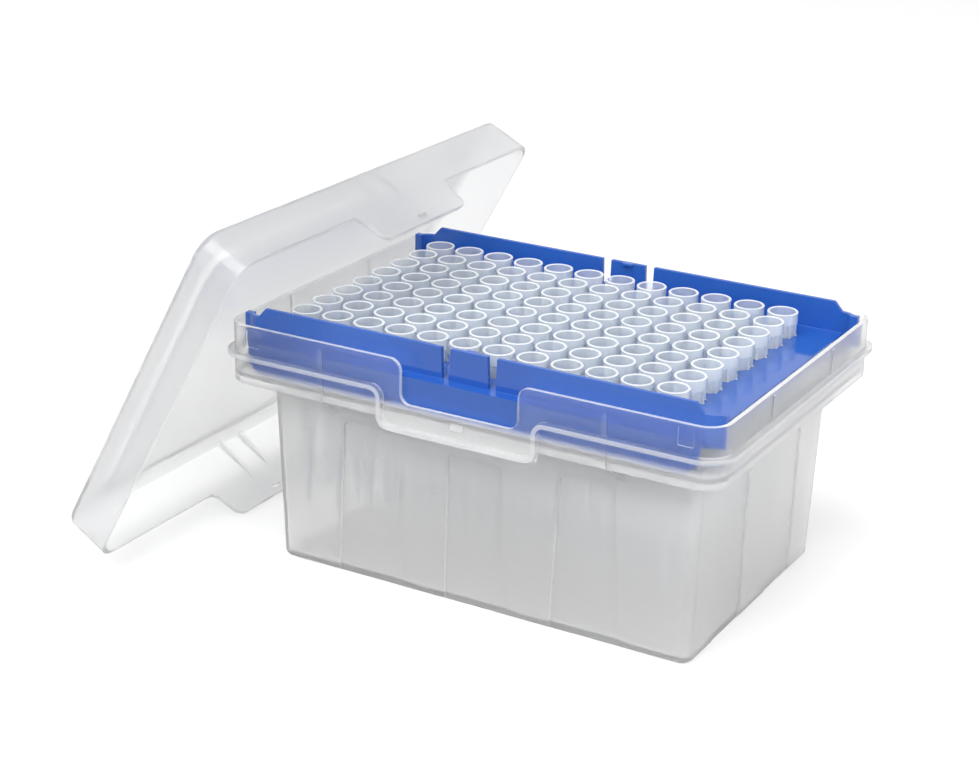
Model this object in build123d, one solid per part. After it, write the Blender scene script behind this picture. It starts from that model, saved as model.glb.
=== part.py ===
"""Box of pipette tips: a deep translucent base, the clip-in rack that stands in it full of tips, and its
lid, taken off and leaned against the base's left end.

Millimetres. The origin is the centre of the foot: X along the box, Y from front to back, Z up.
"""

import os
from math import cos, pi, radians, sin, tan

from build123d import *

# ---- the grid that the whole box is sized from
PITCH = 9.0  # between tips, both ways
COLUMNS, ROWS = 12, 8
GRID_SHIFT = -2.27  # the grid sits a little left of the box's centre
END_MARGIN = 5.66  # the foot's length beyond COLUMNS pitches
SIDE_MARGIN = 1.6  # the foot's width beyond ROWS pitches
FOOT_L = COLUMNS * PITCH + END_MARGIN
FOOT_W = ROWS * PITCH + SIDE_MARGIN

# ---- base: body
WALL = 1.2  # every translucent wall, and the tray's
DRAFT = 1.725  # degrees, the body widens upward
FOOT_CORNER = 3.0  # the body's upright corners
FOOT_EDGE = 0.8  # chamfer round the foot
BODY_H = 48.8  # foot to the collar's lower edge

# ---- base: collar, shelf and flange
COLLAR_OUT_L, COLLAR_OUT_W = 7.6, 8.23  # how far the collar stands out from the body, ends and sides
COLLAR_H = 15.0
COLLAR_CORNER = 6.0
SHELF_RISE = 2.5  # collar's lower edge to the top of the shelf
FLANGE_OUT = 1.65  # how far the flange stands out from the collar
FLANGE_T = 1.3
FLANGE_DROP = 7.1  # rim to the flange's upper side
DIP_HALF = 20.7  # the flange dips under each cutout: half its width, at the centreline
DIP_DEPTH = 9.25  # flange top down to the top of the dip's floor
DIP_BEND = 2.6
DIP_SPAN = 6.0  # straight run left on each side of the dip

# ---- base: small features
CUT_HALF, CUT_DEPTH = 15.6, 10.8  # cutout in each long collar wall
CUT_CORNER, CUT_LIP = 2.5, 3.0  # its inner corners and the rounded corners of the rim
PANEL_DEPTH = 0.7
PANEL_CORNER = 1.75
SIDE_PANELS = [  # centre, width at the foot, width at the top, height up the wall
    (-29.75, 18.8, 14.2, 41.2),
    (0.0, 17.2, 14.8, 39.2),
    (29.75, 18.8, 14.2, 41.2),
]
END_PANELS = [(-15.4, 16.0, 12.8, 40.3), (15.4, 16.0, 12.8, 40.3)]
SIDE_RIB_X, SIDE_RIB_W, SIDE_RIB_OUT, SIDE_RIB_DROP = 37.8, 1.3, 0.4, 1.5
END_RIB_Y, END_RIB_W, END_RIB_OUT, END_RIB_DROP = 18.0, 1.2, 0.3, 0.8
GUSSET_X, GUSSET_H = 38.5, 6.1  # webs under the collar
WINDOW_IN, WINDOW_W, WINDOW_H, WINDOW_DEPTH = 6.6, 3.8, 4.4, 0.3  # shallow windows near the ends
WINDOW_DROP = 0.9  # rim to the windows' upper edge
CATCH_W, CATCH_H, CATCH_OUT = 3.2, 1.8, 0.8  # wedge that the slot in a lid tab snaps over
CATCH_DROP = 7.3  # flange top to the ledge under the wedge

# ---- rack tray
TRAY_GAP = 0.5  # tray to the collar's inner face
SKIRT_H = 8.05  # shelf to the plate's upper side
PLATE_T = 2.0
LEDGE_W = 3.22  # plate outside the tray's upper walls
TRAY_WALL_H = 7.82  # plate to the top of the upper walls
WALL_END_DROP = 2.37  # the upper walls slope down to this at their ends
WALL_END_RUN = 2.1
SKIRT_CORNER = 2.9  # chamfer on the skirt's lower corners
HOOK_REACH = 4.2  # hook's outer face beyond the plate's end
HOOK_BEND = 4.9
HOOK_TO_Y = 3.08  # from the wall's outer face to the hook's free end
HOOK_DROP = 2.35  # plate's upper side to the hook's lower edge
HOOK_PAD = 2.2  # thickness of the pad at the hook's end
HOOK_PAD_L = 1.7
TAB_HALF_W, TAB_SLIT = 4.96, 2.45  # grip tab in the middle of each upper wall
SLIT_DRAFT = 0.25  # each side of a slit leans in by this at its foot
NUB_W, NUB_END, NUB_OUT, NUB_T = 3.3, 2.5, 0.9, 0.8  # nub on the inner face of a grip tab, at its top

# ---- tips
SIDES = 8  # a tip has eight ribs, and one corner stands for each
TIP_GAP = 1.3  # between the rims of neighbours
TIP_RIM = 6.04  # plate to the rim
TIP_L = 50.8
RIM_R = (PITCH - TIP_GAP) / 2
HUB_R = RIM_R - 0.15  # foot of the ribbed hub, which stands on the plate
SEAT_W = 0.4  # hub's foot beyond the cone
CONE_R = HUB_R - SEAT_W  # cone where it enters the plate
HOLE_GAP = 0.1
RIM_LIP = 0.5  # thickness of the rim
END_R, END_WALL = 0.6, 0.35

# ---- lid
LID_H = 12.6
LID_DRAFT = 1.8
LID_CORNER = 7.0
LID_ROUND = 2.0
STACK_GAP, STACK_STEP = 0.3, 1.8  # recess that another box's foot stands in
STACK_DRAFT = 20.0
TAB_TOP, TAB_END = 19.6, 18.8  # half widths of a tab, at the rim and at its end
TAB_GAP = 0.05  # tab's end to the floor of the flange's dip
TAB_CORNER, TAB_BEND = 2.75, 2.6
SLOT_GAP, SLOT_H = 0.2, 1.0  # slot beyond the catch, each way, and its height
FIN_X, FIN_T, FIN_OUT, FIN_END = 4.2, 1.0, 2.0, 2.8  # fins inside each long wall
LID_LEAN = 28.7  # degrees from upright
LID_SHIFT = -5.1  # along the base's end
LEAN_GAP = 0.05  # lid's inner face to the base's rim

# ---- sizes that follow
SHELF_TOP = BODY_H + SHELF_RISE
RIM_Z = BODY_H + COLLAR_H
FLANGE_TOP = RIM_Z - FLANGE_DROP
DIP_TOP = FLANGE_TOP - DIP_DEPTH
BODY_GROW = BODY_H * tan(radians(DRAFT))
COLLAR_L = FOOT_L + 2 * (BODY_GROW + COLLAR_OUT_L)
COLLAR_W = FOOT_W + 2 * (BODY_GROW + COLLAR_OUT_W)
FLANGE_L, FLANGE_W = COLLAR_L + 2 * FLANGE_OUT, COLLAR_W + 2 * FLANGE_OUT
TRAY_L, TRAY_W = COLLAR_L - 2 * (WALL + TRAY_GAP), COLLAR_W - 2 * (WALL + TRAY_GAP)
PLATE_TOP = SHELF_TOP + SKIRT_H
PLATE_L = TRAY_L - 2 * HOOK_REACH
TRAY_WALL_Y = TRAY_W / 2 - LEDGE_W
TAB_DEPTH = DIP_DEPTH - TAB_GAP


def rounded_block(length, width, corner, z0, z1, draft=0.0):
    """A block on a rounded rectangle, from z0 to z1; a negative draft widens it upward."""
    return extrude(Pos(0, 0, z0) * RectangleRounded(length, width, corner), z1 - z0, taper=draft)


def flat_sided(low, z0, high, z1):
    """A solid between two outlines with as many corners each, given as (x, y), at the heights z0 and z1."""
    low, high = [Vector(x, y, z0) for x, y in low], [Vector(x, y, z1) for x, y in high]
    sides = [(low[i - 1], low[i], high[i], high[i - 1]) for i in range(len(low))]
    return Solid(Shell([Face(Wire.make_polygon(corners)) for corners in (low[::-1], high, *sides)]))


def drafted_block(length, width, corner, z0, z1):
    """A block that widens upward at the body's draft, with the same radius all the way up its corners."""
    grow = (z1 - z0) * tan(radians(DRAFT))
    turn = [(-1, -1), (1, -1), (1, 1), (-1, 1)]
    low = [(a * length / 2, b * width / 2) for a, b in turn]
    high = [(a * (length / 2 + grow), b * (width / 2 + grow)) for a, b in turn]
    block = flat_sided(low, z0, high, z1)
    upright = [e for e in block.edges() if abs(e.tangent_at(0.5).Z) > 0.9]
    return fillet(upright, corner)


def side_profile(points):
    """A closed outline in the XZ plane."""
    return Plane.XZ * Polygon(*points, align=None)


def both_sides(shape, about=Plane.XZ):
    """A shape and its mirror image."""
    return shape + mirror(shape, about=about)


def corner_at(sketch, *places):
    """The corners of a sketch that lie nearest to the places."""
    return [min(sketch.vertices(), key=lambda v: (Vector(*v) - Vector(*p)).length) for p in places]


def wall_panels(panels, half, grow, inner, outer):
    """Panels on the drafted front wall: each outline widened by grow, between two depths below the skin."""
    lean = radians(DRAFT)
    skin = Plane((0, -half, 0), x_dir=(1, 0, 0), z_dir=(0, -cos(lean), -sin(lean)))
    tools = []
    for centre, foot, top, height in panels:
        outline = Pos(centre, 0) * Polygon(
            (-foot / 2 - grow, -2), (foot / 2 + grow, -2),
            (top / 2 + grow, height + grow), (-top / 2 - grow, height + grow), align=None,
        )
        if not grow:
            outline = fillet(outline.vertices().group_by(Axis.Y)[-1], PANEL_CORNER)
        tools.append(extrude(skin.offset(-inner) * outline, inner - outer))
    return tools


def all_panels(grow, inner, outer):
    """The panels of all four walls, as one list of tools."""
    long_wall = wall_panels(SIDE_PANELS, FOOT_W / 2, grow, inner, outer)
    end_wall = wall_panels(END_PANELS, FOOT_L / 2, grow, inner, outer)
    turns = [(0, long_wall), (180, long_wall), (90, end_wall), (-90, end_wall)]
    return [Rot(0, 0, turn) * tool for turn, tools in turns for tool in tools]


def make_body():
    """The drafted body with its recessed panels, and the core that hollows it to an even wall."""
    body = drafted_block(FOOT_L, FOOT_W, FOOT_CORNER, 0, SHELF_TOP)
    body = chamfer(body.faces().sort_by(Axis.Z)[0].edges(), FOOT_EDGE)
    body -= all_panels(0, PANEL_DEPTH, -2.0)
    grow = 2 * (WALL * tan(radians(DRAFT)) - WALL)
    core = drafted_block(FOOT_L + grow, FOOT_W + grow, FOOT_CORNER - WALL, WALL, SHELF_TOP)
    core -= all_panels(WALL, WALL + PANEL_DEPTH, WALL - 0.5)
    return body, core


def make_flange():
    """The bead round the collar, which dips below the cutout in each long wall."""
    z_low, z_top = FLANGE_TOP - FLANGE_T, FLANGE_TOP
    ring = rounded_block(FLANGE_L, FLANGE_W, COLLAR_CORNER + FLANGE_OUT, z_low, z_top)
    ring -= rounded_block(COLLAR_L - WALL, COLLAR_W - WALL, COLLAR_CORNER - WALL / 2, z_low, z_top)
    reach = DIP_HALF + DIP_SPAN
    ring -= Pos(0, 0, z_top) * Box(2 * reach, 2 * FLANGE_W, 4 * FLANGE_T)
    high, low = FLANGE_TOP - FLANGE_T / 2, DIP_TOP - FLANGE_T / 2
    line = FilletPolyline(
        (-reach, high), (-DIP_HALF, high), (-DIP_HALF, low), (DIP_HALF, low), (DIP_HALF, high), (reach, high),
        radius=DIP_BEND,
    )
    band = extrude(Plane.XZ.offset(COLLAR_W / 2 - WALL / 2) * trace(line, FLANGE_T), FLANGE_OUT + WALL / 2)
    return ring + both_sides(band)


def make_cutouts():
    """The tool for the cutouts in the long collar walls, with the rim's corners rounded into it."""
    low, high, wide = RIM_Z - CUT_DEPTH, RIM_Z + 2, CUT_HALF + 2 * CUT_LIP
    outline = Polygon(
        (-wide, high), (-wide, RIM_Z), (-CUT_HALF, RIM_Z), (-CUT_HALF, low),
        (CUT_HALF, low), (CUT_HALF, RIM_Z), (wide, RIM_Z), (wide, high), align=None,
    )
    outline = fillet(corner_at(outline, (-CUT_HALF, RIM_Z), (CUT_HALF, RIM_Z)), CUT_LIP)
    outline = fillet(corner_at(outline, (-CUT_HALF, low), (CUT_HALF, low)), CUT_CORNER)
    tool = extrude(Plane.XZ * outline, COLLAR_W, both=True)
    return tool - Box(2 * COLLAR_L, COLLAR_W - 4 * WALL, 4 * RIM_Z)


def make_trim():
    """Ribs on the collar, webs under it, and the wedges that the lid's tabs snap over."""
    side = COLLAR_W / 2
    rib_top = RIM_Z - SIDE_RIB_DROP
    rib = side_profile([
        (-SIDE_RIB_W / 2, BODY_H), (SIDE_RIB_W / 2, BODY_H), (SIDE_RIB_W / 2, rib_top - SIDE_RIB_W / 2),
        (0, rib_top), (-SIDE_RIB_W / 2, rib_top - SIDE_RIB_W / 2),
    ])
    rib = Pos(SIDE_RIB_X, -side + WALL / 2, 0) * extrude(rib, SIDE_RIB_OUT + WALL / 2)

    z = BODY_H - GUSSET_H
    wall_y = FOOT_W / 2 + z * tan(radians(DRAFT))
    inside = side - WALL / 2
    web = Plane.YZ * Polygon(
        (-wall_y + WALL / 2, z), (-wall_y, z), (-inside, BODY_H),
        (-inside, SHELF_TOP - WALL / 2), (-wall_y + WALL / 2, SHELF_TOP - WALL / 2), align=None,
    )
    web = Pos(GUSSET_X, 0, 0) * extrude(web, WALL / 2, both=True)

    ledge = FLANGE_TOP - CATCH_DROP
    catch = Plane.YZ * Polygon(
        (-side + WALL / 2, ledge), (-side - CATCH_OUT, ledge), (-side, ledge + CATCH_H),
        (-side + WALL / 2, ledge + CATCH_H), align=None,
    )
    catch = extrude(catch, CATCH_W / 2, both=True)

    z0, z1 = FLANGE_TOP - FLANGE_T / 2, RIM_Z - END_RIB_DROP
    end_rib = Pos(COLLAR_L / 2, END_RIB_Y, (z0 + z1) / 2) * Box(2 * END_RIB_OUT, END_RIB_W, z1 - z0)
    long_side = both_sides(both_sides(rib + web, Plane.YZ) + catch)
    return long_side + both_sides(both_sides(end_rib, Plane.YZ))


def make_base():
    body, core = make_body()
    inner = (COLLAR_L - 2 * WALL, COLLAR_W - 2 * WALL, COLLAR_CORNER - WALL)
    collar = rounded_block(COLLAR_L, COLLAR_W, COLLAR_CORNER, BODY_H, RIM_Z)
    collar -= rounded_block(*inner, BODY_H, SHELF_TOP - WALL)
    lip_h = BODY_H - (DIP_TOP - FLANGE_T)
    lip = Box(2 * DIP_HALF, WALL, lip_h + WALL, align=(Align.CENTER, Align.MIN, Align.MIN))
    collar += both_sides(Pos(0, -COLLAR_W / 2, BODY_H - lip_h) * lip)
    base = body + collar + make_flange() + make_trim()
    base -= [core, rounded_block(*inner, SHELF_TOP, RIM_Z), make_cutouts()]
    window_z = RIM_Z - WINDOW_DROP - WINDOW_H / 2
    window = Pos(COLLAR_L / 2 - WINDOW_IN - WINDOW_W / 2, COLLAR_W / 2, window_z)
    return base - both_sides(both_sides(window * Box(WINDOW_W, 2 * WINDOW_DEPTH, WINDOW_H), Plane.YZ))


def hole_sites():
    """The plan position of every tip, a list for each column."""
    xs = [(i - (COLUMNS - 1) / 2) * PITCH + GRID_SHIFT for i in range(COLUMNS)]
    ys = [(j - (ROWS - 1) / 2) * PITCH for j in range(ROWS)]
    return [[(x, y) for y in ys] for x in xs]


def make_hooks():
    """The two spring hooks at the right end, which curve round to bear on the collar's end wall."""
    reach, y = TRAY_L / 2, TRAY_WALL_Y
    centre = Pos(reach - HOOK_BEND, y - HOOK_BEND)
    bend = centre * (Circle(HOOK_BEND) - Circle(HOOK_BEND - WALL))
    free_y = y - HOOK_TO_Y
    bend &= Pos(reach - HOOK_BEND, free_y) * Rectangle(HOOK_BEND, HOOK_TO_Y, align=Align.MIN)
    pad = Pos(reach - HOOK_PAD, free_y) * Rectangle(HOOK_PAD, HOOK_PAD_L, align=Align.MIN)
    z0, z1 = PLATE_TOP - HOOK_DROP, PLATE_TOP + TRAY_WALL_H - WALL_END_DROP
    return both_sides(extrude(Pos(0, 0, z0) * (bend + pad), z1 - z0))


def make_tray():
    """One moulding: a cross-section drawn along the box, trimmed to its side view, then pierced."""
    wall_top, half = PLATE_TOP + TRAY_WALL_H, TRAY_W / 2
    y = TRAY_WALL_Y
    right = [
        (y - WALL, PLATE_TOP), (y - WALL, wall_top), (y, wall_top), (y, PLATE_TOP), (half, PLATE_TOP),
        (half, SHELF_TOP), (half - WALL, SHELF_TOP), (half - WALL, PLATE_TOP - PLATE_T),
    ]
    section = Plane.YZ * Polygon(*right, *[(-a, b) for a, b in reversed(right)], align=None)
    end, straight = PLATE_L / 2, TRAY_L / 2 - HOOK_BEND
    side = [
        (end - SKIRT_CORNER, SHELF_TOP), (end, SHELF_TOP + SKIRT_CORNER), (end, PLATE_TOP), (straight, PLATE_TOP),
        (straight, wall_top - WALL_END_DROP), (straight - WALL_END_RUN, wall_top),
    ]
    view = side_profile([*side, *[(-a, b) for a, b in reversed(side)]])
    tray = extrude(section, end, both=True) & extrude(view, TRAY_W, both=True)
    tray += both_sides(make_hooks(), Plane.YZ)
    low, far = TAB_HALF_W + SLIT_DRAFT, TAB_HALF_W + TAB_SLIT
    slit = [(TAB_HALF_W, wall_top), (low, PLATE_TOP), (far - SLIT_DRAFT, PLATE_TOP), (far, wall_top)]
    tray -= both_sides(extrude(side_profile(slit), TRAY_WALL_Y + WALL, both=True), Plane.YZ)
    nub = [(NUB_W / 2, WALL / 2 - y), (NUB_W / 2, WALL - y), (NUB_END / 2, WALL + NUB_OUT - y)]
    nub = Polygon(*nub, *[(-a, b) for a, b in reversed(nub)], align=None)
    tray += both_sides(extrude(Pos(0, 0, wall_top) * nub, -NUB_T))
    sites = Locations(*[site for column in hole_sites() for site in column])
    holes = Sketch() + [loc * RegularPolygon(CONE_R + HOLE_GAP, SIDES) for loc in sites]
    return tray - extrude(Pos(0, 0, PLATE_TOP) * holes, -PLATE_T)


def ribbed_taper(z0, r0, z1, r1):
    """A tip's taper from z0 up to z1; the radii are to its corners."""
    turn = [2 * pi * i / SIDES for i in range(SIDES)]
    low, high = ([(r * cos(a), r * sin(a)) for a in turn] for r in (r0, r1))
    return flat_sided(low, z0, high, z1)


def make_tip():
    """A hollow taper with a thick rim and a hub whose foot stands on the rack's plate."""
    top = PLATE_TOP + TIP_RIM
    end = top - TIP_L
    tip = ribbed_taper(end, END_R, PLATE_TOP, CONE_R) + ribbed_taper(PLATE_TOP, HUB_R, top, RIM_R)
    return tip - ribbed_taper(end, END_R - END_WALL, top, RIM_R - RIM_LIP)


def lid_tabs():
    """The tabs that hang from the rim of both long walls, each with the slot that snaps over a catch."""
    root = TAB_TOP + 2 * TAB_BEND
    outline = Polygon(
        (-root, 1), (-root, 0), (-TAB_TOP, 0), (-TAB_END, -TAB_DEPTH),
        (TAB_END, -TAB_DEPTH), (TAB_TOP, 0), (root, 0), (root, 1), align=None,
    )
    outline = fillet(corner_at(outline, (-TAB_TOP, 0), (TAB_TOP, 0)), TAB_BEND)
    outline = fillet(corner_at(outline, (-TAB_END, -TAB_DEPTH), (TAB_END, -TAB_DEPTH)), TAB_CORNER)
    outline -= Pos(0, SLOT_H / 2 - CATCH_DROP - SLOT_GAP) * Rectangle(CATCH_W + 2 * SLOT_GAP, SLOT_H)
    return both_sides(extrude(Plane.XZ.offset(FLANGE_W / 2 - WALL) * outline, WALL))


def make_lid():
    """The lid in its own frame: X along it, Y across it, Z from its rim up to its panel."""
    lid = rounded_block(FLANGE_L, FLANGE_W, LID_CORNER, 0, LID_H, LID_DRAFT)
    lid = fillet(lid.faces().sort_by(Axis.Z)[-1].edges(), LID_ROUND)
    inside = LID_H - WALL
    hollow = rounded_block(FLANGE_L - 2 * WALL, FLANGE_W - 2 * WALL, LID_CORNER - WALL, 0, inside, LID_DRAFT)
    foot = (FOOT_L + 2 * STACK_GAP, FOOT_W + 2 * STACK_GAP, FOOT_CORNER + STACK_GAP)
    recess = rounded_block(*foot, LID_H - STACK_STEP, LID_H, -STACK_DRAFT)
    step = [size + 2 * WALL for size in foot[:2]] + [foot[2] + WALL]
    hollow -= rounded_block(*step, inside - STACK_STEP, inside, -STACK_DRAFT)
    lid -= [hollow, recess]
    y, rise = FLANGE_W / 2 - WALL, inside + WALL / 4
    lean = inside * tan(radians(LID_DRAFT))
    fin = Plane.YZ * Polygon(
        (-y, -FIN_END), (-y + lean + FIN_OUT, rise), (-y - WALL / 4 + lean, rise), (-y - WALL / 4, -FIN_END), align=None,
    )
    fin = Pos(FIN_X, 0, 0) * extrude(fin, FIN_T / 2, both=True)
    return lid + lid_tabs() + both_sides(both_sides(fin, Plane.YZ))


def lid_place():
    """Where the lid's frame goes: its lower tab stands on the table and its panel leans on the rim."""
    lean = radians(LID_LEAN)
    up, back = cos(lean), sin(lean)
    z = FLANGE_W / 2 * up + TAB_DEPTH * back
    bears = LID_H - WALL - STACK_STEP - LEAN_GAP
    x = -COLLAR_L / 2 + (bears - (RIM_Z - z) * back) / up
    return Plane((x, LID_SHIFT, z), x_dir=(0, -1, 0), z_dir=(-up, 0, back)).location


def main():
    os.makedirs("parts", exist_ok=True)
    pieces = {"base": make_base(), "rack_tray": make_tray(), "lid": lid_place() * make_lid()}
    tip = make_tip()
    for number, column in enumerate(hole_sites(), 1):
        pieces[f"tips_column_{number:02d}"] = Compound([Pos(x, y) * tip.solid() for x, y in column])
    for name, shape in pieces.items():
        export_step(shape, f"parts/{name}.step")


main()
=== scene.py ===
"""A box of pipette tips with its lid off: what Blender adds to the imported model."""

import math

import bmesh
import bpy
from mathutils import Matrix, Vector
from mathutils.bvhtree import BVHTree
from mathutils.geometry import intersect_point_line


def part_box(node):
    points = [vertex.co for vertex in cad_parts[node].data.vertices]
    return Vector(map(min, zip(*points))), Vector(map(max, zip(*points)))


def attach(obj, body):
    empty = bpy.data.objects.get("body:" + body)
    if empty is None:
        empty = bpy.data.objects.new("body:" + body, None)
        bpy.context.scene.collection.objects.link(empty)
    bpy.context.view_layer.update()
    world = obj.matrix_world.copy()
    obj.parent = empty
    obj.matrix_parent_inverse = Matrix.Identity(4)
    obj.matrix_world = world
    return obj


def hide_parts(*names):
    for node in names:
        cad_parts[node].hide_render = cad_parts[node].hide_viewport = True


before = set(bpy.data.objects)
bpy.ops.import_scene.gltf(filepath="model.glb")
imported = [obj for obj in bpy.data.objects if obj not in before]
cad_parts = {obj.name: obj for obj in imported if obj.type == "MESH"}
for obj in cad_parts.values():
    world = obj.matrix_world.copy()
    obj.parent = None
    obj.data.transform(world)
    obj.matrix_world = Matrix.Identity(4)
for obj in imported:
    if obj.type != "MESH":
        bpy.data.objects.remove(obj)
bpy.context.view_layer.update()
MM = 0.001

# ---- Base. A deep box moulded in natural polypropylene, about 1.2 mm thick everywhere, with a collar and a
# flange round its mouth. The tool leaves it milky, with a soft sheen and edges rounded by a few tenths.

EDGE_RADIUS = 0.25 * MM
SHARP = math.radians(32)  # the turn from which an edge is rounded
SPACING = 2.4  # radii that a rounding keeps from the next edge
ALONGSIDE = 0.9  # cosine of the angle within which two edges from a corner run side by side


def has_room(edge, radius):
    """Whether a sharp edge can take a radius, clear of its neighbours and of all else in its two faces."""
    if len(edge.link_faces) != 2 or edge.calc_face_angle() < SHARP:
        return False
    space = SPACING * radius
    ends = [vertex.co for vertex in edge.verts]
    middle = (ends[0] + ends[1]) / 2
    for face in edge.link_faces:
        for other in face.edges:
            if set(other.verts) & set(edge.verts):
                continue
            far = [vertex.co for vertex in other.verts]
            for point, line in ((middle, far), (far[0], ends), (far[1], ends)):
                foot, along = intersect_point_line(point, *line)
                if 0 < along < 1 and (foot - point).length < space:
                    return False
    for vertex in edge.verts:
        away = (edge.other_vert(vertex).co - vertex.co).normalized()
        for other in vertex.link_edges:
            way = other.other_vert(vertex).co - vertex.co
            turn = way.normalized().dot(away)
            too_short = turn > -ALONGSIDE and way.length < space
            if other is not edge and (turn > ALONGSIDE or too_short):
                return False
    return True


def softened(node, name, radius):
    """A piece with the shape of a node, its edges rounded and its broad faces kept flat in the shading."""
    same_point, same_plane = 0.003 * MM, math.radians(0.4)
    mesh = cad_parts[node].data.copy()
    mesh.materials.clear()
    shape = bmesh.new()
    shape.from_mesh(mesh)
    bmesh.ops.remove_doubles(shape, verts=shape.verts, dist=same_point)
    bmesh.ops.dissolve_limit(shape, angle_limit=same_plane, verts=shape.verts, edges=shape.edges)
    weight = shape.edges.layers.float.new("bevel_weight_edge")
    for edge in shape.edges:
        edge[weight] = has_room(edge, radius)
    shape.to_mesh(mesh)
    shape.free()
    piece = bpy.data.objects.new(name, mesh)
    bpy.context.scene.collection.objects.link(piece)
    rounding = piece.modifiers.new("rounded edges", "BEVEL")
    rounding.width = radius
    rounding.segments = 2
    rounding.limit_method = "WEIGHT"
    rounding.use_clamp_overlap = False
    rounding.miter_outer = "MITER_ARC"
    rounding.loop_slide = False
    bpy.context.view_layer.update()
    seen = piece.evaluated_get(bpy.context.evaluated_depsgraph_get())
    rounded = bpy.data.meshes.new_from_object(seen)
    piece.modifiers.clear()
    piece.data = rounded
    rounded.name = name
    shade(rounded)
    return piece


BROAD = 1.1 * MM  # twice the area over the outline, above which a face counts as broad and stays flat
SAME_CURVE = 0.82  # cosine of the angle within which faces that meet are shaded as one curve
WALL_DEPTH, DEEP = 1.4 * MM, 2.5 * MM  # plastic behind a face: a plain wall's, and what looks whitest
REACH = 6 * MM  # how far in the depth is looked for
SLIVER = 0.08  # share of a face below which a triangle of it isn't measured


def shade(mesh):
    """Corner normals that turn only in the narrow faces, and how deep the plastic is behind each face."""
    shape = bmesh.new()
    shape.from_mesh(mesh)
    area = [face.calc_area() for face in shape.faces]
    outline = [sum(edge.calc_length() for edge in face.edges) for face in shape.faces]
    broad = [2 * inside > BROAD * around for inside, around in zip(area, outline)]
    normals = []
    for face in shape.faces:
        for vertex in (loop.vert for loop in face.loops):
            near = [f for f in vertex.link_faces if f.normal.dot(face.normal) > SAME_CURVE]
            near = [face] if broad[face.index] else [f for f in near if broad[f.index]] or near
            normals.append(sum((f.normal * area[f.index] for f in near), 1e-12 * face.normal).normalized())
    tree = BVHTree.FromBMesh(shape)
    shape.free()
    mesh.shade_smooth()
    mesh.normals_split_custom_set(normals)
    mesh.calc_loop_triangles()
    least = [REACH] * len(area)
    for part in mesh.loop_triangles:
        face = part.polygon_index
        if part.area > SLIVER * area[face]:
            inward = -mesh.polygons[face].normal
            start = sum((mesh.vertices[i].co for i in part.vertices), Vector()) / 3 + 0.01 * MM * inward
            least[face] = min(least[face], tree.ray_cast(start, inward, REACH)[3] or REACH)
    depth_and_rim_highlight = mesh.attributes.new("depth_and_rim_highlight", "FLOAT", "FACE")
    share = [(depth - WALL_DEPTH) / (DEEP - WALL_DEPTH) for depth in least]
    depth_and_rim_highlight.data.foreach_set("value", [min(1, max(0, value)) for value in share])


def plastic(name, colour, bend, gloss):
    """A Principled material, and its nodes, links and shader."""
    material = bpy.data.materials.new(name)
    material.use_nodes = True
    nodes, links = material.node_tree.nodes, material.node_tree.links
    shader = nodes["Principled BSDF"]
    shader.inputs["Base Color"].default_value = (*colour, 1)
    shader.inputs["IOR"].default_value = bend
    shader.inputs["Coat Weight"].default_value = gloss
    shader.inputs["Coat Roughness"].default_value = 0.12
    return material, nodes, links, shader


def mould_texture(nodes, links, shader, grain, depth, cloud, roughness):
    """The fine grain of a moulding tool in the surface, and a slow cloudiness in its sheen."""
    place = nodes.new("ShaderNodeTexCoord")
    fine, slow = nodes.new("ShaderNodeTexNoise"), nodes.new("ShaderNodeTexNoise")
    fine.inputs["Scale"].default_value = grain
    fine.inputs["Detail"].default_value = 3
    slow.inputs["Scale"].default_value = cloud
    slow.inputs["Detail"].default_value = 2
    sheen, bump = nodes.new("ShaderNodeMapRange"), nodes.new("ShaderNodeBump")
    sheen.inputs["To Min"].default_value, sheen.inputs["To Max"].default_value = roughness
    bump.inputs["Strength"].default_value = 0.25
    bump.inputs["Distance"].default_value = depth
    links.new(place.outputs["Object"], fine.inputs["Vector"])
    links.new(place.outputs["Object"], slow.inputs["Vector"])
    links.new(slow.outputs["Fac"], sheen.inputs["Value"])
    links.new(sheen.outputs["Result"], shader.inputs["Roughness"])
    links.new(fine.outputs["Fac"], bump.inputs["Height"])
    links.new(bump.outputs["Normal"], shader.inputs["Normal"])


def milk_and_painted_light_by_height(nodes, links, stops):
    """A share of whiteness, partly painted light, that follows the height above the table, from stops of
    height and share.
    """
    top = 100 * MM
    place, height, scale, ramp = (
        nodes.new("ShaderNode" + kind) for kind in ("TexCoord", "SeparateXYZ", "Math", "ValToRGB")
    )
    scale.operation = "DIVIDE"
    scale.inputs[1].default_value = top
    marks = ramp.color_ramp.elements
    while len(marks) < len(stops):
        marks.new(0.5)
    for mark, (z, share) in zip(marks, stops):
        mark.position, mark.color = z * MM / top, (share, share, share, 1)
    links.new(place.outputs["Object"], height.inputs["Vector"])
    links.new(height.outputs["Z"], scale.inputs[0])
    links.new(scale.outputs[0], ramp.inputs["Fac"])
    return ramp.outputs["Color"]


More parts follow.
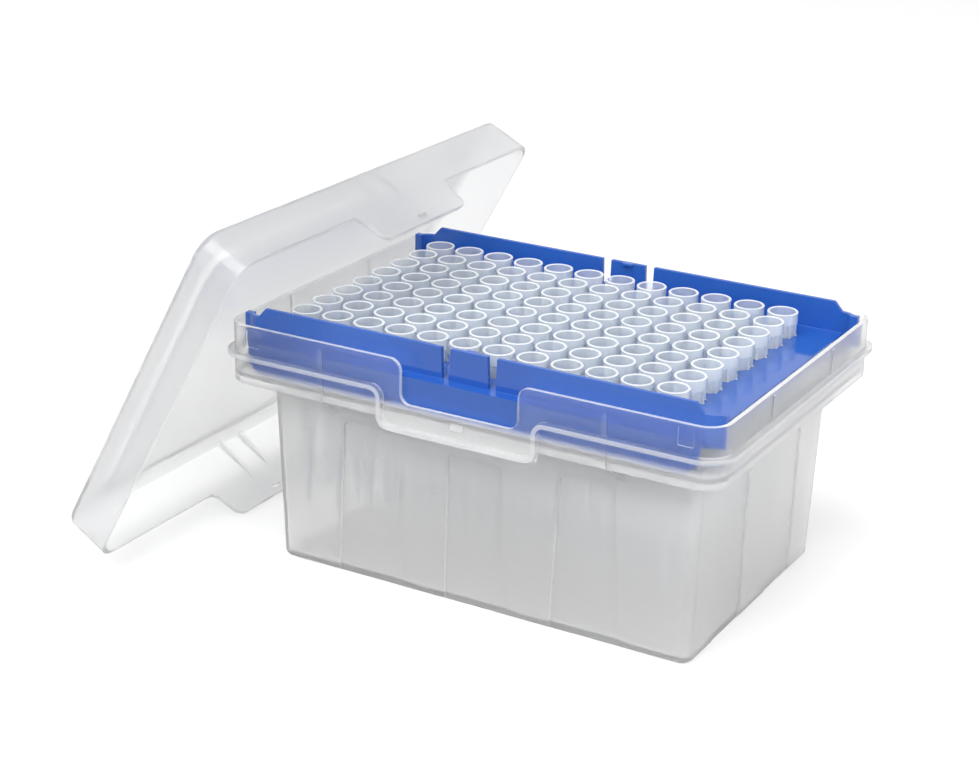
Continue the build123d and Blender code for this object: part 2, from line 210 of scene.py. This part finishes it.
def pale_edges(nodes, links, shader, clear, at_edges, stops=None):
    """Whiter where the plastic is deep, as the light that travels inside a wall comes out there; on tip rims,
    a painted highlight.
    """
    depth_and_rim_highlight, level, tint = (nodes.new("ShaderNode" + kind) for kind in ("Attribute", "MapRange", "Mix"))
    depth_and_rim_highlight.attribute_name = "depth_and_rim_highlight"
    white = depth_and_rim_highlight.outputs["Fac"]
    # with stops, whiteness by height is added: the plastic's milkiness, and painted light under the collar
    if stops:
        either = nodes.new("ShaderNodeMath")
        either.operation = "MAXIMUM"
        links.new(milk_and_painted_light_by_height(nodes, links, stops), either.inputs[0])
        links.new(white, either.inputs[1])
        white = either.outputs[0]
    level.inputs["To Min"].default_value = clear
    level.inputs["To Max"].default_value = at_edges
    tint.data_type = "RGBA"
    tint.inputs["A"].default_value = shader.inputs["Base Color"].default_value
    tint.inputs["B"].default_value = (1, 1, 1, 1)
    links.new(white, level.inputs["Value"])
    links.new(white, tint.inputs["Factor"])
    links.new(level.outputs["Result"], shader.inputs["Transmission Weight"])
    links.new(tint.outputs["Result"], shader.inputs["Base Color"])


MILKY_GRAIN = {"grain": 900, "depth": 0.02 * MM, "cloud": 35, "roughness": (0.28, 0.36)}
# Heights in millimetres, each with its share of whiteness: milkiness low down, then painted light against the
# shade of the collar and rack, most just under the collar; none above its foot.
BODY_MILK_AND_PAINTED_LIGHT = [(0, 0.2), (28, 0.3), (41, 0.95), (45.5, 0.95), (46.8, 0.6), (52.2, 0.6), (53.2, 0)]

milky, nodes, links, shader = plastic("milky polypropylene", (0.925, 0.923, 0.92), bend=1.2, gloss=0.3)
mould_texture(nodes, links, shader, **MILKY_GRAIN)
pale_edges(nodes, links, shader, clear=0.975, at_edges=0.55, stops=BODY_MILK_AND_PAINTED_LIGHT)

base = softened("base", "base_moulding", EDGE_RADIUS)
base.data.materials.append(milky)
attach(base, "root")
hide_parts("base")

# ---- Rack. The blue tray that clips into the collar, one glossy polypropylene moulding. A tip hangs in each
# of its holes, and its plate is smooth enough to mirror them.

RACK_RADIUS = 0.2 * MM
RACK_BLUE = (0.022, 0.108, 0.46)
RACK_GRAIN = {"grain": 700, "depth": 0.006 * MM, "cloud": 40, "roughness": (0.04, 0.1)}

rack_blue, nodes, links, shader = plastic("glossy blue polypropylene", RACK_BLUE, bend=1.48, gloss=0.05)
mould_texture(nodes, links, shader, **RACK_GRAIN)
shader.inputs["Subsurface Weight"].default_value = 0.15
shader.inputs["Subsurface Radius"].default_value = (0.2, 0.4, 1.0)
shader.inputs["Subsurface Scale"].default_value = 0.6 * MM

rack = softened("rack_tray", "rack", RACK_RADIUS)
rack.data.materials.append(rack_blue)
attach(rack, "root")
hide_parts("rack_tray")

# ---- Tips. Clear polypropylene tapers with a thick rim. Under the rim a hub with eight ribs stands on the
# rack's plate, and the long cone hangs through the hole. Each was dropped in with its ribs turned at random.

RIM_R, MOUTH_R, ROUNDING = 3.85, 3.2, 0.12
HUB_R, RIB_R, FOOT_R = 3.3, 3.7, 3.88  # the hub between its ribs, over them, and over the feet of the ribs
END_R, END_BORE, PLATE_BORE = 0.6, 0.25, 2.92
RIM_TO_SHOULDER, RIM_TO_PLATE, TIP_L = 2.95, 6.04, 50.8
RIBS, ROWS, COLUMNS, PITCH = 8, 8, 12, 9.0
RIB_TURNS = (-5.0, 5.0, 6.5, 22.5, 38.5)  # degrees round each rib: its two edges, then the valley


def tip_mesh():
    """One tip, its rim's centre at the origin, as rings joined into a closed tube."""
    rings = [  # valley radius, rib radius, height
        (END_BORE, END_BORE, -TIP_L),
        (PLATE_BORE, PLATE_BORE, -RIM_TO_PLATE - 1),
        (MOUTH_R + 0.08, MOUTH_R + 0.08, -1.0),
        (MOUTH_R, MOUTH_R, -0.5),
        (MOUTH_R, MOUTH_R, -ROUNDING),
        (MOUTH_R + ROUNDING, MOUTH_R + ROUNDING, 0),
        (RIM_R - ROUNDING, RIM_R - ROUNDING, 0),
        (RIM_R, RIM_R, -ROUNDING),
        (RIM_R - 0.04, RIM_R - 0.04, -RIM_TO_SHOULDER + ROUNDING),
        (RIM_R - 0.14, RIM_R - 0.14, -RIM_TO_SHOULDER),
        (HUB_R + 0.02, RIB_R, -RIM_TO_SHOULDER - 0.05),
        (HUB_R, RIB_R - 0.02, -RIM_TO_PLATE + 0.55),
        (HUB_R, FOOT_R, -RIM_TO_PLATE + 0.2),
        (HUB_R, FOOT_R, -RIM_TO_PLATE + 0.01),
        (HUB_R - 0.01, HUB_R - 0.01, -RIM_TO_PLATE),
        (END_R, END_R, -TIP_L + 0.1),
        (END_R - 0.07, END_R - 0.07, -TIP_L),
    ]
    turns = [(360 / RIBS * k + t, i < 2) for k in range(RIBS) for i, t in enumerate(RIB_TURNS)]
    shape = bmesh.new()
    made = []
    for valley, rib, z in rings:
        ring = []
        for turn, on_rib in turns:
            r, a = (rib if on_rib else valley) * MM, math.radians(turn)
            ring.append(shape.verts.new((r * math.cos(a), r * math.sin(a), z * MM)))
        made.append(ring)
    for low, high in zip(made, made[1:] + made[:1]):
        for i in range(len(turns)):
            j = (i + 1) % len(turns)
            shape.faces.new((low[i], low[j], high[j], high[i]))
    bmesh.ops.recalc_face_normals(shape, faces=shape.faces)
    mesh = bpy.data.meshes.new("tip")
    shape.to_mesh(mesh)
    shape.free()
    mesh.shade_smooth()
    mesh.set_sharp_from_angle(angle=math.radians(38))
    # The rims' top faces are marked whole: a painted highlight for the bright edge the light catches there.
    depth_and_rim_highlight = mesh.attributes.new("depth_and_rim_highlight", "FLOAT", "FACE")
    for face in mesh.polygons:
        depth_and_rim_highlight.data[face.index].value = 1.0 if face.center.z > -0.2 * MM else 0.0
    return mesh


def column_tree(tip):
    """Geometry Nodes: a row of points, a tip on each at its own turn, made real and given its plastic."""
    tree = bpy.data.node_groups.new("column of tips", "GeometryNodeTree")
    new = tree.interface.new_socket
    new("Geometry", in_out="OUTPUT", socket_type="NodeSocketGeometry")
    sockets = {
        "Rows": new("Rows", in_out="INPUT", socket_type="NodeSocketInt"),
        "Pitch": new("Pitch", in_out="INPUT", socket_type="NodeSocketFloat"),
        "First tip": new("First tip", in_out="INPUT", socket_type="NodeSocketVector"),
        "Seed": new("Seed", in_out="INPUT", socket_type="NodeSocketInt"),
        "Plastic": new("Plastic", in_out="INPUT", socket_type="NodeSocketMaterial"),
    }
    node, link = tree.nodes.new, tree.links.new
    given, out = node("NodeGroupInput"), node("NodeGroupOutput")
    step, row = node("ShaderNodeCombineXYZ"), node("GeometryNodeMeshLine")
    source, turn = node("GeometryNodeObjectInfo"), node("FunctionNodeRandomValue")
    source.inputs["Object"].default_value = tip
    turn.data_type = "FLOAT_VECTOR"
    turn.inputs["Max"].default_value = (0, 0, math.tau)
    place, real = node("GeometryNodeInstanceOnPoints"), node("GeometryNodeRealizeInstances")
    finish = node("GeometryNodeSetMaterial")
    link(given.outputs["Pitch"], step.inputs["Y"])
    link(given.outputs["Rows"], row.inputs["Count"])
    link(given.outputs["First tip"], row.inputs["Start Location"])
    link(step.outputs["Vector"], row.inputs["Offset"])
    link(given.outputs["Seed"], turn.inputs["Seed"])
    link(row.outputs["Mesh"], place.inputs["Points"])
    link(source.outputs["Geometry"], place.inputs["Instance"])
    link(turn.outputs["Value"], place.inputs["Rotation"])
    link(place.outputs["Instances"], real.inputs["Geometry"])
    link(real.outputs["Geometry"], finish.inputs["Geometry"])
    link(given.outputs["Plastic"], finish.inputs["Material"])
    link(finish.outputs["Geometry"], out.inputs["Geometry"])
    return tree, {name: socket.identifier for name, socket in sockets.items()}


TIP_GRAIN = {"grain": 1400, "depth": 0.006 * MM, "cloud": 120, "roughness": (0.1, 0.16)}

clear_tip, nodes, links, shader = plastic("clear polypropylene", (0.93, 0.97, 1.0), bend=1.2, gloss=0.4)
mould_texture(nodes, links, shader, **TIP_GRAIN)
# the tips' rim tops are painted whiter: a painted highlight
pale_edges(nodes, links, shader, clear=0.71, at_edges=0.4)

one_tip = bpy.data.objects.new("tip", tip_mesh())
bpy.context.scene.collection.objects.link(one_tip)
tree, socket = column_tree(one_tip)
for number in range(1, COLUMNS + 1):
    node_name = f"tips_column_{number:02d}"
    low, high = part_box(node_name)
    column = bpy.data.objects.new(f"tips_{number:02d}", bpy.data.meshes.new("column"))
    bpy.context.scene.collection.objects.link(column)
    rows = column.modifiers.new("rows of tips", "NODES")
    rows.node_group = tree
    rows[socket["Rows"]] = ROWS
    rows[socket["Pitch"]] = PITCH * MM
    rows[socket["First tip"]] = ((low[0] + high[0]) / 2, low[1] + RIM_R * MM, high[2])
    rows[socket["Seed"]] = number
    rows[socket["Plastic"]] = clear_tip
    bpy.context.view_layer.update()
    seen = column.evaluated_get(bpy.context.evaluated_depsgraph_get())
    mesh = bpy.data.meshes.new_from_object(seen)
    column.modifiers.clear()
    column.data = mesh
    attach(column, "root")
    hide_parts(node_name)
bpy.data.objects.remove(one_tip)

# ---- Lid. A shallow shell in the same milky polypropylene as the base, with a recess that another box stands
# in and a snap tab on each long wall. It stands on one tab and leans on the base's end.

LID_COLOUR = (0.88, 0.883, 0.887)  # a shade greyer than the base

lid_milky, nodes, links, shader = plastic("milky lid polypropylene", LID_COLOUR, bend=1.2, gloss=0.3)
mould_texture(nodes, links, shader, **MILKY_GRAIN)
pale_edges(nodes, links, shader, clear=0.93, at_edges=0.72)

lid = softened("lid", "lid_moulding", EDGE_RADIUS)
lid.data.materials.append(lid_milky)
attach(lid, "root")
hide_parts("lid")

# ---- Table, lamps and camera. A plain white table that fades into a white room, one broad soft lamp high in
# front of the box, and a weaker one low on its right.

TABLE_HALF, TABLE_DROP = 0.9, 0.2 * MM
# The table and the room, each as the eye meets it and as it throws light on the box.
TABLE_PALE, TABLE_PALE_SCATTERED = 0.6, 0.2
TABLE_GLOW, TABLE_GLOW_SCATTERED = 0.48, 0.0
ROOM_LEVEL, ROOM_LEVEL_SCATTERED = 1.0, 0.58


def by_ray(nodes, links, scattered, to_the_eye):
    """One value for scattered light, another for what the eye meets, also in a mirror or through plastic."""
    path, level = nodes.new("ShaderNodeLightPath"), nodes.new("ShaderNodeMapRange")
    found = path.outputs["Is Camera Ray"]
    for kind in ("Is Glossy Ray", "Is Transmission Ray"):
        either = nodes.new("ShaderNodeMath")
        either.operation = "MAXIMUM"
        links.new(found, either.inputs[0])
        links.new(path.outputs[kind], either.inputs[1])
        found = either.outputs[0]
    level.inputs["To Min"].default_value = scattered
    level.inputs["To Max"].default_value = to_the_eye
    links.new(found, level.inputs["Value"])
    return level.outputs["Result"]


table = bpy.data.meshes.new("table")
corners = [(x * TABLE_HALF, y * TABLE_HALF, 0) for x, y in ((-1, -1), (1, -1), (1, 1), (-1, 1))]
table.from_pydata(corners, [], [(0, 1, 2, 3)])
floor = bpy.data.objects.new("table", table)
floor.location.z = -TABLE_DROP
bpy.context.scene.collection.objects.link(floor)
white, nodes, links, shader = plastic("white table", (TABLE_PALE,) * 3, bend=1.49, gloss=0.0)
shader.inputs["Roughness"].default_value = 0.9
shader.inputs["Specular IOR Level"].default_value = 0
glow, both = nodes.new("ShaderNodeEmission"), nodes.new("ShaderNodeAddShader")
links.new(by_ray(nodes, links, TABLE_PALE_SCATTERED, TABLE_PALE), shader.inputs["Base Color"])
links.new(by_ray(nodes, links, TABLE_GLOW_SCATTERED, TABLE_GLOW), glow.inputs["Strength"])
links.new(shader.outputs[0], both.inputs[0])
links.new(glow.outputs[0], both.inputs[1])
links.new(both.outputs[0], nodes["Material Output"].inputs["Surface"])
table.materials.append(white)

room = bpy.data.worlds.new("white room")
room.use_nodes = True
nodes, links = room.node_tree.nodes, room.node_tree.links
sky = nodes["Background"]
sky.inputs["Color"].default_value = (1, 1, 1, 1)
links.new(by_ray(nodes, links, ROOM_LEVEL_SCATTERED, ROOM_LEVEL), sky.inputs["Strength"])
bpy.context.scene.world = room


def soft_lamp(name, at, size, power):
    """A square softbox aimed at the middle of the box."""
    middle = Vector((-0.01, 0, 0.04))
    lamp = bpy.data.lights.new(name, "AREA")
    lamp.size = size
    lamp.energy = power
    holder = bpy.data.objects.new(name, lamp)
    holder.location = at
    holder.rotation_euler = (Vector(at) - middle).to_track_quat("Z", "Y").to_euler()
    bpy.context.scene.collection.objects.link(holder)


soft_lamp("key", at=(-0.1, -0.6, 1.05), size=0.9, power=13.0)
soft_lamp("fill", at=(0.9, -0.5, 0.5), size=0.7, power=4.0)

EYE = (0.229336, -0.436833, 0.233540)
RIGHT, UP = (0.866292, 0.499159, 0.019476), (-0.194414, 0.300979, 0.933603)
BACK = (0.460154, -0.812559, 0.357779)  # from the box to the eye

lens = bpy.data.cameras.new("camera")
lens.sensor_width = 36
lens.lens = 78.01
lens.clip_start, lens.clip_end = 0.01, 20
camera = bpy.data.objects.new("camera", lens)
camera.matrix_world = Matrix.Translation(EYE) @ Matrix((RIGHT, UP, BACK)).transposed().to_4x4()
bpy.context.scene.collection.objects.link(camera)
bpy.context.scene.camera = camera
bpy.context.scene.view_settings.view_transform = "Standard"
for kind in ("max_bounces", "transmission_bounces", "transparent_max_bounces"):
    setattr(bpy.context.scene.cycles, kind, 32)
